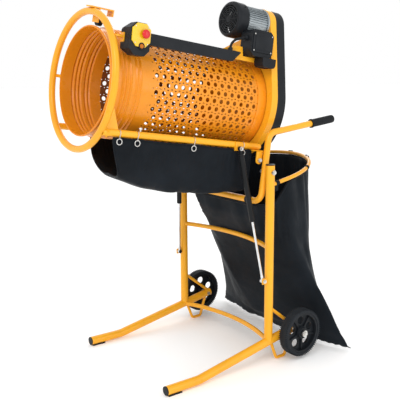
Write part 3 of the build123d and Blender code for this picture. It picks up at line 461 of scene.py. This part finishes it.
def make_wheels():
    """Solid tyres with ribbed shoulders, and ribs and a hub collar on the wheels."""
    for side, sign in (("near", -1.0), ("far", 1.0)):
        place = Matrix.Translation((AXLE.x, sign * AXLE.y, AXLE.z)) @ Matrix.Rotation(pi / 2, 4, "Z")
        if sign > 0:
            place = place @ Matrix.Rotation(pi, 4, "Z")
        # drawn about X, outer face towards -X
        half = 22.0
        profile = [(-half, 88.0), (-half, 92.0), (-half + 1.5, 96.5), (-half + 5, 100.2), (-half + 9, 101.6)]
        profile += [(-4, 102.0), (-3, 100.6), (3, 100.6), (4, 102.0)]
        profile += [(-x, r) for x, r in reversed(profile[:5])]
        profile += [(half - 3, 86.2), (-half + 3, 86.2)]
        body = lathe(profile, 128)
        ribs = []
        for i in range(TYRE_RIBS):
            rib = bevelled_box((-half + 0.2, -1.2, 95.0), (-half + 8, 1.2, 101.7), 0.5, 1)
            turn = Matrix.Rotation(2 * pi * i / TYRE_RIBS, 4, "X")
            ribs.append(moved(rib, turn))
            ribs.append(moved(rib, turn @ Matrix.Scale(-1, 4, (1, 0, 0))))
        tread = moved(join([body, *ribs]), MM)
        tyre = add_piece(f"tread_{side}", *tread, "wheel_tyre", f"{side}_wheel", place)
        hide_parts(f"tyre_{side}")

        parts = [lathe([(-21, 20.2), (-21, 23.0), (-9, 27.0), (-9, 20.2)], 64)]
        for i in range(WHEEL_RIBS):
            rib = bevelled_box((-11, -2.2, 20.0), (7, 2.2, 79.0), 1.0, 2)
            parts.append(moved(rib, Matrix.Rotation(2 * pi * (i + 0.5) / WHEEL_RIBS, 4, "X")))
        add_piece(f"wheel_ribs_{side}", *moved(join(parts), MM), "black_plastic", f"{side}_wheel", place)


# ---- handle grips -------------------------------------------------------------------------------
def make_grips():
    """Ribbed rubber sleeves with a rounded end and a collar."""
    knee, tip = Vector((711.0, -116.0)), Vector((1062.0, -24.0))
    along = (tip - knee).normalized()
    profile = [(-128.0, 13.2), (-128.0, 17.5), (-126.0, 19.0), (-120.0, 19.0), (-118.0, 16.6)]
    x = -114.0
    while x < -8.0:
        profile += [(x, 16.2), (x + 1.2, 17.0), (x + 4.2, 17.0), (x + 5.4, 16.2)]
        x += 7.0
    profile += [(-4.0, 17.0), (2.0, 16.4), (3.6, 13.0), (4.0, 6.0), (4.0, 0.0), (1.0, 0.0), (1.0, 13.2)]
    parts = []
    for sign in (-1.0, 1.0):
        direction = CARRIER.to_3x3() @ Vector((along.x, 0.0, along.y))
        place = towards(carried(tip.x, sign * 272.0, tip.y), direction) @ MM
        parts.append(moved(lathe(profile, 48), place))
    piece = add_piece("ribbed_grips", *join(parts), "black_rubber", "carrier")
    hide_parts("hand_grips")


# ---- fasteners ----------------------------------------------------------------------------------
def make_fasteners():
    stand, carrier = [], []
    for sign in (-1.0, 1.0):
        out = Vector((0, sign, 0))
        stand.append(moved(hex_bolt(0.0065, 0.005), towards((UPRIGHT_X, sign * 0.3290, 0.808), out)))
        stand.append(moved(hex_bolt(0.0085, 0.006), towards((AXLE.x, sign * 0.3890, AXLE.z), out)))
        stand.append(moved(hex_bolt(0.006, 0.005), towards((UPRIGHT_X - 0.030, sign * 0.3125, 0.359), out)))
        carrier.append(moved(hex_bolt(0.0065, 0.005), towards(carried(686.0, sign * 265.2, -229.0), out)))
        carrier.append(moved(hex_bolt(0.006, 0.006), towards(carried(615.0, sign * 225.0, -190.0), out)))
    add_piece("stand_bolts", *join(stand), "zinc", "stand")
    add_piece("carrier_bolt_heads", *join(carrier), "zinc", "carrier")


# ---- cloth --------------------------------------------------------------------------------------
def spline(rows, place):
    """Values at place from rows of (place, values...), by a smooth curve through them."""
    last = len(rows) - 1
    k = max(i for i in range(last) if rows[i][0] <= place or i == 0)
    p0, p1, p2, p3 = rows[max(k - 1, 0)], rows[k], rows[k + 1], rows[min(k + 2, last)]
    span = p2[0] - p1[0]
    t = (place - p1[0]) / span
    values = []
    for a, b, c, d in zip(p0[1:], p1[1:], p2[1:], p3[1:]):
        start = (c - a) / max(p2[0] - p0[0], 1e-6) * span
        end = (d - b) / max(p3[0] - p1[0], 1e-6) * span
        values.append(
            (2 * t**3 - 3 * t**2 + 1) * b + (t**3 - 2 * t**2 + t) * start
            + (3 * t**2 - 2 * t**3) * c + (t**3 - t**2) * end
        )
    return values


def between(start, end, count):
    return [start + (end - start) * i / count for i in range(count)]


def softened(points, rounds, closed=True):
    for _ in range(rounds):
        count = len(points)
        ends = (0, count - 1)
        points = [
            p if not closed and i in ends
            else points[i - 1] * 0.25 + p * 0.5 + points[(i + 1) % count] * 0.25
            for i, p in enumerate(points)
        ]
    return points


def grid_faces(rows, columns, closed):
    faces = []
    for j in range(rows - 1):
        for i in range(columns if closed else columns - 1):
            k = (i + 1) % columns
            faces.append((j * columns + i, j * columns + k, (j + 1) * columns + k, (j + 1) * columns + i))
    return faces


def settle(piece, held, frames, reach):
    """Lets a sheet settle under its own weight between its held points, then keeps the shape."""
    scene = bpy.context.scene
    group = piece.vertex_groups.new(name="held")
    group.add(held, 1.0, "REPLACE")
    cloth = piece.modifiers.new("cloth", "CLOTH")
    settings = cloth.settings
    settings.vertex_group_mass = "held"
    settings.quality = 5
    settings.mass = 0.35
    settings.tension_stiffness = 30.0
    settings.compression_stiffness = 30.0
    settings.shear_stiffness = 8.0
    settings.bending_stiffness = 0.3
    settings.shrink_min = -0.025
    cloth.collision_settings.use_collision = False
    cloth.point_cache.frame_start = 1
    cloth.point_cache.frame_end = frames
    rest = [v.co.copy() for v in piece.data.vertices]
    for number in range(1, frames + 1):
        scene.frame_set(number)
    settled = piece.evaluated_get(bpy.context.evaluated_depsgraph_get())
    places = [v.co.copy() for v in settled.data.vertices]
    piece.modifiers.remove(cloth)
    piece.vertex_groups.remove(group)
    scene.frame_set(1)
    for vertex, start, end in zip(piece.data.vertices, rest, places):
        shift = end - start
        if shift.length > reach:
            shift *= reach / shift.length
        vertex.co = start + shift
    piece.data.update()


def thicken(piece, thickness):
    """Gives a sheet its thickness, with closed edges."""
    mesh = piece.data
    count = len(mesh.vertices)
    verts = [v.co.copy() for v in mesh.vertices]
    inner = [v.co - v.normal * thickness for v in mesh.vertices]
    faces = [tuple(face.vertices) for face in mesh.polygons]
    use = {}
    for face in faces:
        for a, b in zip(face, face[1:] + face[:1]):
            use.setdefault(frozenset((a, b)), []).append((a, b))
    rims = [edges[0] for edges in use.values() if len(edges) == 1]
    faces += [tuple(i + count for i in reversed(face)) for face in faces]
    faces += [(b, a, a + count, b + count) for a, b in rims]
    mesh.clear_geometry()
    mesh.from_pydata(verts + inner, [], faces)
    mesh.shade_smooth()


SACK_LEVELS = (
    (14.0, 286.0, 60.0, 366.0, 462.0, 332.0),
    (250.0, 190.0, 150.0, 290.0, 345.0, 372.0),
    (500.0, 80.0, 190.0, 150.0, 300.0, 392.0),
    (660.0, -6.0, 215.0, 105.0, 300.0, 405.0),
    (840.0, -6.0, 215.0, 105.0, 300.0, 405.0),
)
# how far the filled sides stand out at each height: near side, far side
SACK_BULGE = (
    (14.0, 1.0, 0.94),
    (250.0, 1.07, 1.08),
    (500.0, 1.07, 1.04),
    (660.0, 1.0, 1.0),
    (840.0, 1.0, 1.0),
)
SACK_FOLD = 11.0           # deepest crease, in millimetres
SACK_ROWS = 72
OUTLINES = {}              # outlines already worked out, by height
RING_R, RING_CENTRE, RING_SLOPE = 300.0, 105.0, 0.2


def sack_outline(z):
    """The sack's outline at a height, millimetres from the uprights: front, near wing, back, far wing."""
    front_x, front_half, side_x, side_half, back_x = spline(SACK_LEVELS, z)
    flare = back_x - side_x
    if abs(flare) < 2.0:
        flare = 2.0
    centre = (back_x**2 - side_x**2 - side_half**2) / (2 * flare)
    radius = back_x - centre
    sweep = asin(min(1.0, side_half / abs(radius)))
    points = [Vector((front_x, y)) for y in between(front_half, -front_half, 24)]
    for i in range(24):
        share = i / 24
        points.append(Vector((front_x, -front_half)).lerp(Vector((side_x, -side_half)), share))
    for turn in between(-sweep, sweep, 88):
        points.append(Vector((centre + radius * cos(turn), abs(radius) * sin(turn))))
    for i in range(24):
        points.append(Vector((side_x, side_half)).lerp(Vector((front_x, front_half)), i / 24))
    near, far = spline(SACK_BULGE, z)
    return [Vector((p.x, p.y * (near if p.y < 0.0 else far))) for p in softened(points, 5)]


def rim_height(x):
    if x < 58.0:
        return 662.0
    if x < 112.0:
        return 662.0 + 101.0 * (x - 58.0) / 54.0
    return 763.0 + 0.2 * (x - 112.0)


def make_sack():
    """The open sack under the ring, loosely filled out, with creases and a flat seam at the bottom."""
    top = sack_outline(700.0)
    count = len(top)
    rims = [rim_height(p.x) for p in top]
    rims = [sum(rims[(i + k) % count] for k in (-1, 0, 1)) / 3 for i in range(count)]
    verts = []
    for j in range(SACK_ROWS):
        share = j / (SACK_ROWS - 1)
        for i in range(count):
            z = 14.0 + (rims[i] - 14.0) * share
            outline = OUTLINES.setdefault(round(z), sack_outline(float(round(z))))
            p = outline[i]
            centre = Vector((sum(q.x for q in outline) / count, 0.0))
            inward = (centre - p).normalized()
            here = Vector((p.x * 0.004 + z * 0.0022, p.y * 0.004, z * 0.0016))
            crease = max(0.0, 1.0 - 2.4 * abs(noise.noise(here * 1.5))) ** 2
            small = 0.5 + 0.5 * noise.noise(here * 5.0)
            pleat = (0.5 + 0.5 * sin(i * 0.62 + 1.4 * noise.noise(here * 2.0))) * share**5
            depth = SACK_FOLD * crease + 3.0 * small + 5.0 * pleat
            depth *= min(1.0, share * 6.0)
            x, y = p.x + inward.x * depth, p.y + inward.y * depth
            pinch = max(0.0, 1.0 - (z - 14.0) / 60.0) ** 0.7
            seam = 306.0 + 52.0 * (p.y / 440.0) ** 2 + 4.0 * sin(p.y / 38.0)
            x += (seam - x) * pinch
            verts.append((UPRIGHT_X * 1000 + x, y, z))
    piece = add_piece("filled_sack", verts, grid_faces(SACK_ROWS, count, True), "black_cloth", "stand", MM)
    rest = [v.index for v in piece.data.vertices if v.co.z < 0.018]
    rim = []
    for v in piece.data.vertices:
        if v.co.z > rim_height((v.co.x - UPRIGHT_X) * 1000) / 1000 - 0.012:
            rim.append(v.index)
    settle(piece, rest + rim, 22, 0.014)
    thicken(piece, 0.0012)
    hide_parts("sack")

    hem_points = []
    for i in range(count):
        p = top[i]
        inward = Vector((-p.x + 160.0, -p.y)).normalized()
        hem_points.append((UPRIGHT_X * 1000 + p.x + inward.x * 4, p.y + inward.y * 4, rims[i] - 3.0))
    hem = add_piece("sack_hem", *moved(tube(hem_points, 4.2, 10, True), MM), "black_cloth", "stand")

    loops = []
    for turn in (-100.0, -62.0, -28.0, 0.0, 28.0, 62.0, 100.0):
        a = radians(turn)
        if abs(turn) > 90.0:
            x, y, heading = 42.0, RING_R * (1 if turn > 0 else -1), Vector((1.0, 0.0, RING_SLOPE))
        else:
            x, y = RING_CENTRE + RING_R * cos(a), RING_R * sin(a)
            heading = Vector((-sin(a), cos(a), -sin(a) * RING_SLOPE))
        z = 752.0 + RING_SLOPE * x
        band = lathe([(-9.0, 8.4), (-9.0, 9.6), (9.0, 9.6), (9.0, 8.4)], 32)
        place = MM @ towards((UPRIGHT_X * 1000 + x, y, z), heading)
        loops.append(moved(band, place))
        inward = Vector((160.0 - x, -y, 0.0)).normalized()
        side = heading.normalized() * 9.0
        start = Vector((UPRIGHT_X * 1000 + x, y, z - 8.0)) + inward * 3.0
        drop = start + Vector((0.0, 0.0, -26.0)) + inward * 2.0
        out = inward * -1.6
        corners = [start - side, start + side, drop + side, drop - side]
        corners += [p + out for p in corners]
        faces = [(0, 1, 2, 3), (4, 7, 6, 5), (0, 4, 5, 1), (1, 5, 6, 2), (2, 6, 7, 3), (3, 7, 4, 0)]
        loops.append(([p / 1000 for p in corners], faces))
    straps = add_piece("sack_straps", *join(loops), "black_cloth", "stand")


APRON_SECTIONS = (
    (0.0, 45.0, 160.0, -342.0, -152.0, 42.0, 150.0, -285.0),
    (0.5, 350.0, 350.0, -386.0, -176.0, 70.0, 168.0, -325.0),
    (1.0, 690.0, 690.0, -372.0, -200.0, 190.0, 204.0, -350.0),
)
APRON_EDGE, APRON_TOP = 198.0, -193.0
HOOKS = {-1.0: (69.0, 144.0, 398.0, 645.0), 1.0: (200.0, 398.0, 645.0)}
APRON_ROWS, APRON_COLUMNS = 90, 72
EYELET_R, EYELET_V = 10.5, -206.0
RAIL_Y, RAIL_V, HOOK_R = 190.0, -176.0, 14.6
FRONT_SLANT = 75.0         # how far the front edge's low part lies behind its top
EDGE_SAG = 3.0            # how far the apron's edge hangs between hooks


def hook_gap(s, places):
    """Nothing at a hook, rising to one midway between two hooks."""
    stops = (0.0, *places, 709.0)
    for start, end in zip(stops, stops[1:]):
        if start <= s <= end:
            return sin(pi * (s - start) / (end - start)) * min(1.0, (end - start) / 200.0)
    return 0.0


def make_apron():
    """The cloth trough under the drum, hung from the rails by eyelets and looped on the rear bar."""
    verts = []
    for j in range(APRON_ROWS):
        near_s, far_s, floor_v, near_y, far_y, bend_y, bend_v = spline(APRON_SECTIONS, j / (APRON_ROWS - 1))
        corners = [
            Vector((-APRON_EDGE, APRON_TOP)), Vector((near_y + 2, floor_v + 2)), Vector((far_y, floor_v + 2)),
            Vector((bend_y - 2, bend_v)), Vector((APRON_EDGE - 2, APRON_TOP)),
        ]
        lengths = [(b - a).length for a, b in zip(corners, corners[1:])]
        profile = []
        for i in range(APRON_COLUMNS):
            walk = sum(lengths) * i / (APRON_COLUMNS - 1)
            k = 0
            while k < len(lengths) - 1 and walk > lengths[k]:
                walk -= lengths[k]
                k += 1
            profile.append(corners[k].lerp(corners[k + 1], min(1.0, walk / lengths[k])))
        profile = softened(profile, 26, closed=False)
        for i, p in enumerate(profile):
            share = i / (APRON_COLUMNS - 1)
            s = near_s + (p.x + APRON_EDGE) * (far_s - near_s) / (2 * APRON_EDGE)
            edge = max(0.0, 1.0 - 5.0 * min(share, 1.0 - share))
            drop = (APRON_TOP - p.y) / (APRON_TOP - floor_v)
            s += FRONT_SLANT * drop**1.5 * max(0.0, 1.0 - j / 30) * (1.0 - share)
            p = p - Vector((0.0, EDGE_SAG * edge * hook_gap(s, HOOKS[-1.0 if share < 0.5 else 1.0])))
            here = Vector((s * 0.006 + p.y * 0.004, p.x * 0.004, p.y * 0.004))
            crease = max(0.0, 1.0 - 2.6 * abs(noise.noise(here * 1.4))) ** 2
            lift = 7.0 * crease * sin(pi * share)
            verts.append((s, p.x * (1.0 - lift / 400.0), p.y + lift))
    faces = grid_faces(APRON_ROWS, APRON_COLUMNS, False)
    piece = add_piece("hung_apron", verts, faces, "black_cloth", "carrier", CARRIER @ MM)
    last = APRON_COLUMNS - 1
    held = []
    for v in piece.data.vertices:
        row, column = divmod(v.index, APRON_COLUMNS)
        if column in (0, last) or row in (0, APRON_ROWS - 1):
            held.append(v.index)
    settle(piece, held, 22, 0.006)
    thicken(piece, 0.0012)
    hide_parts("apron")

    hems = []
    for column in (0, last):
        edge = [Vector(verts[j * APRON_COLUMNS + column]) for j in range(APRON_ROWS)]
        hems.append(tube(edge, 3.2, 8))
    for row in (0, APRON_ROWS - 1):
        edge = [Vector(verts[row * APRON_COLUMNS + i]) for i in range(APRON_COLUMNS)]
        hems.append(tube(edge, 3.0, 8))
    hem = add_piece("apron_hem", *moved(join(hems), CARRIER @ MM), "black_cloth", "carrier")

    rings = []
    for sign, places in HOOKS.items():
        for s in places:
            y = sign * 200.6
            turns = between(0.0, 2 * pi, 28)
            ring = [(s + EYELET_R * cos(a), y, EYELET_V + EYELET_R * sin(a)) for a in turns]
            rings.append(tube(ring, 1.9, 10, True))
            hook = [(s, y, EYELET_V + 8.0)]
            for a in between(-0.7, 3.2, 20):
                hook.append((s, sign * (RAIL_Y + HOOK_R * cos(a)), RAIL_V + HOOK_R * sin(a)))
            rings.append(tube(hook, 1.7, 8))
    eyelets = add_piece("eyelet_rings", *moved(join(rings), CARRIER @ MM), "zinc", "carrier")
    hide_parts("apron_hooks")

    bands = []
    for y in (-200.0, 195.0):
        band = lathe([(-16.0, 13.4), (-16.0, 15.2), (16.0, 15.2), (16.0, 13.4)], 40)
        bands.append(moved(band, CARRIER @ MM @ towards((709.0, y, -396.0), (0.0, 1.0, 0.0))))
    loops = add_piece("apron_loops", *join(bands), "black_cloth", "carrier")


# ---- motor and electrics ------------------------------------------------------------------------
COWL_START, COWL_END, COWL_R = 572.0, 624.0, 71.5


def make_cowl():
    """The fan's cowl: a rounded drum with a grille of rings and spokes."""
    shell = [
        (COWL_END, 66.8), (COWL_END, COWL_R), (COWL_START + 12, COWL_R), (COWL_START + 5, COWL_R - 2),
        (COWL_START + 1, COWL_R - 6.5), (COWL_START, COWL_R - 12), (COWL_START + 2.5, COWL_R - 12),
        (COWL_START + 4, COWL_R - 7), (COWL_START + 8, COWL_R - 4), (COWL_START + 14, COWL_R - 2.5),
        (COWL_END - 8, 66.8),
    ]
    parts = [lathe(shell, 96)]
    for radius in (13.0, 22.0, 31.0, 40.0, 49.0, 58.0):
        parts.append(lathe([
            (COWL_START, radius - 2), (COWL_START, radius + 2), (COWL_START + 2.5, radius + 2),
            (COWL_START + 2.5, radius - 2),
        ], 72))
    back = COWL_START + 2.5
    parts.append(lathe([(COWL_START - 1, 0.0), (COWL_START, 11.0), (back, 11.0), (back, 0.0)], 48))
    for i in range(12):
        spoke = bevelled_box((COWL_START + 0.3, -1.6, 9.0), (COWL_START + 2.8, 1.6, 61.0), 0.4, 2)
        parts.append(moved(spoke, Matrix.Rotation(2 * pi * i / 12, 4, "X")))
    for i in range(4):
        screw = moved(hex_bolt(3.6, 3.0), towards((COWL_END - 12, 0, 0), (0, 0, 1)))
        screw = moved(screw, Matrix.Translation((0, 0, COWL_R)))
        parts.append(moved(screw, Matrix.Rotation(pi * (i + 0.5) / 2, 4, "X")))
    place = CARRIER @ MM @ Matrix.Translation((0, MOTOR_Y * 1000, MOTOR_V * 1000))
    piece = add_piece("grille_cowl", *join(parts), "black_plastic", "carrier", place)
    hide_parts("fan_cowl")


def screw_head(s, y, v, direction, radius=3.2):
    """A low round screw head with a dimple."""
    profile = [(0.0, 0.0), (0.0, 1.0), (1.2, 0.9), (1.8, 0.5), (1.2, 0.3), (1.2, 0.0)]
    head = lathe([(x, radius * share) for x, share in profile], 20)
    return moved(head, MM @ towards((s, y, v), direction))


def make_electrics():
    """Lids, screws, glands and buttons on the boxes."""
    lid = bevelled_box((612, -229.5, 196), (714, -225.5, 272), 1.4, 3)
    frame_rib = bevelled_box((622, -231.0, 206), (704, -229.0, 262), 1.0, 2)
    add_piece("box_lid", *moved(join([lid, frame_rib]), CARRIER @ MM), "black_plastic", "carrier")
    heads = [screw_head(s, -229.4, v, (0, -1, 0)) for s in (618, 708) for v in (202, 266)]
    plate_screws = ((58, 195), (110, 195), (60, 139), (110, 139))
    heads += [screw_head(s, -258.0, v, (0, -1, 0), 2.6) for s, v in plate_screws]
    add_piece("box_screws", *moved(join(heads), CARRIER), "zinc", "carrier")
    first = lathe([(0, 5.2), (0, 9.5), (7, 9.5), (8, 8.5), (12, 7.6), (12, 5.2)], 24)
    glands = [
        moved(first, MM @ towards((606.5, -195.5, 250.0), (-72, 0, -21))),
        moved(first, MM @ towards((527.0, -195.5, 186.8), (0, 0, 1))),
    ]
    add_piece("cable_glands", *moved(join(glands), CARRIER), "black_plastic", "carrier")

    dome = [(-12.0, 0.0), (-12.0, 5.9), (5.8, 5.9), (6.0, 9.0), (6.6, 14.2), (8.2, 15.4), (11.0, 15.4)]
    dome += [(13.6, 14.0), (15.4, 10.5), (16.1, 6.0), (16.3, 0.0)]
    knob = moved(lathe(dome, 56), MM @ towards((96, -258, 172), (0, -1, 0)))
    piece = add_piece("mushroom_knob", *moved(knob, CARRIER), "red_plastic", "stop_button")
    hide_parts("stop_knob")
    face = [(-10.0, 0.0), (-10.0, 7.8), (1.0, 7.8), (2.6, 7.0), (3.4, 5.0), (3.7, 0.0)]
    button = moved(lathe(face, 40), MM @ towards((88, -258, 130), (0, -1, 0)))
    piece = add_piece("domed_button", *moved(button, CARRIER), "green_plastic", "start_push")
    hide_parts("start_button")
    collars = []
    for (s, v), inner in (((96, 172), 6.6), ((88, 130), 8.6)):
        collar = lathe([(0, inner), (0, inner + 4), (0.9, inner + 3.4), (1.3, inner)], 40)
        collars.append(moved(collar, MM @ towards((s, -258, v), (0, -1, 0))))
    add_piece("button_collars", *moved(join(collars), CARRIER), "black_plastic", "carrier")


def make_guard_screws():
    """Screws round the belt guard's back."""
    heads = []
    for angle in range(100, 441, 34):
        a = radians(angle)
        if 20 > angle % 360 or angle % 360 > 340:
            continue
        heads.append(screw_head(815.0, 224 * sin(a), 224 * cos(a), (1, 0, 0), 4.0))
    add_piece("guard_screws", *moved(join(heads), CARRIER), "zinc", "carrier")


make_drum_mouth()
make_sieve()
make_wheels()
make_grips()
make_fasteners()
make_sack()
make_apron()
make_cowl()
make_electrics()
make_guard_screws()

# ---- stage, light and camera --------------------------------------------------------------------
def make_stage():
    size = 60.0
    mesh = bpy.data.meshes.new("floor")
    corners = [(-size, -size, 0), (size, -size, 0), (size, size, 0), (-size, size, 0)]
    mesh.from_pydata(corners, [], [(0, 1, 2, 3)])
    floor = bpy.data.objects.new("floor", mesh)
    bpy.context.collection.objects.link(floor)
    mat, tree, bsdf = new_material("pale_floor")
    bsdf.inputs["Base Color"].default_value = (0.97, 0.97, 0.965, 1.0)
    bsdf.inputs["Roughness"].default_value = 0.9
    bsdf.inputs["Specular IOR Level"].default_value = 0.1
    bsdf.inputs["Emission Color"].default_value = (1.0, 1.0, 1.0, 1.0)
    bsdf.inputs["Emission Strength"].default_value = 0.12
    mesh.materials.append(mat)

    world = bpy.data.worlds.new("studio")
    bpy.context.scene.world = world
    world.use_nodes = True
    back = world.node_tree.nodes["Background"]
    back.inputs["Color"].default_value = (1.0, 1.0, 1.0, 1.0)
    back.inputs["Strength"].default_value = 1.0


def area_light(name, place, target, size, power):
    data = bpy.data.lights.new(name, "AREA")
    data.shape = "RECTANGLE"
    data.size, data.size_y = size
    data.energy = power
    lamp = bpy.data.objects.new(name, data)
    lamp.location = place
    lamp.rotation_euler = (Vector(target) - Vector(place)).to_track_quat("-Z", "Y").to_euler()
    bpy.context.collection.objects.link(lamp)


def make_camera():
    right = Vector((0.80469, -0.59366, -0.00636))
    up = Vector((0.11332, 0.14307, 0.98320))
    back = right.cross(up).normalized()
    data = bpy.data.cameras.new("camera")
    data.sensor_width = 36.0
    data.lens = 60.29
    camera = bpy.data.objects.new("camera", data)
    camera.matrix_world = Matrix.Translation((-1.6509, -2.2806, 1.1902)) @ Matrix(
        (
            (right.x, up.x, back.x, 0.0),
            (right.y, up.y, back.y, 0.0),
            (right.z, up.z, back.z, 0.0),
            (0.0, 0.0, 0.0, 1.0),
        )
    )
    bpy.context.collection.objects.link(camera)
    bpy.context.scene.camera = camera


make_stage()
make_camera()
area_light("key", (-2.6, -2.2, 3.2), (0.0, 0.0, 0.8), (1.6, 1.6), 38.0)
area_light("side", (1.2, -3.2, 1.6), (0.1, 0.0, 0.8), (1.0, 2.0), 12.0)
area_light("rim", (2.2, 2.4, 2.6), (0.0, 0.0, 0.9), (1.5, 1.5), 18.0)
bpy.context.scene.view_settings.view_transform = "Standard"
